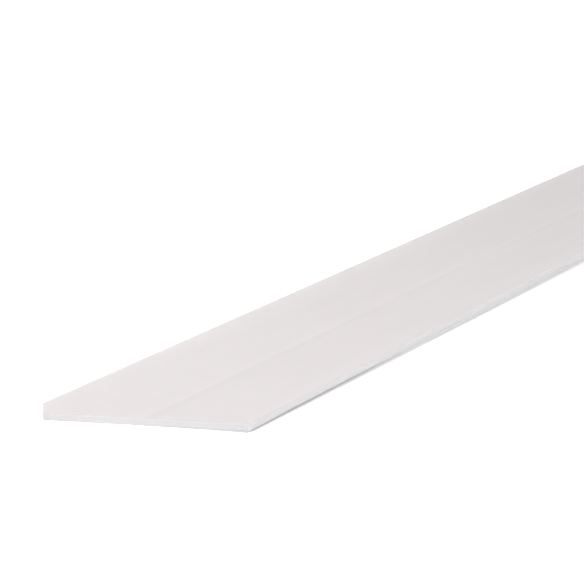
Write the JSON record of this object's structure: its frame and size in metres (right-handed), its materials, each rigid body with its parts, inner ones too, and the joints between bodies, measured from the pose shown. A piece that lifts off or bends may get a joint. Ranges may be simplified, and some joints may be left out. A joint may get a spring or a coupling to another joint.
{
  "type": "angle trim strip",
  "caption": "Flat white plastic angle trim strip with a raised crease along it between a wide and a narrow leg, cut square at the ends, with one blunt corner.",
  "frame": {"origin": "on the back of the strip, in the middle of its length and width", "axes": "+X along the strip, away from the cut end with the blunt corner; +Y across it, towards the outer edge of the wide leg; +Z out of the face, away from the back that is glued down"},
  "size_m": [1, 0.055, 0.0019],
  "materials": {
    "white_pvc": "satin"
  },
  "bodies": {
    "root": {"angle_trim_strip": "white_pvc"}
  },
  "joints": []
}
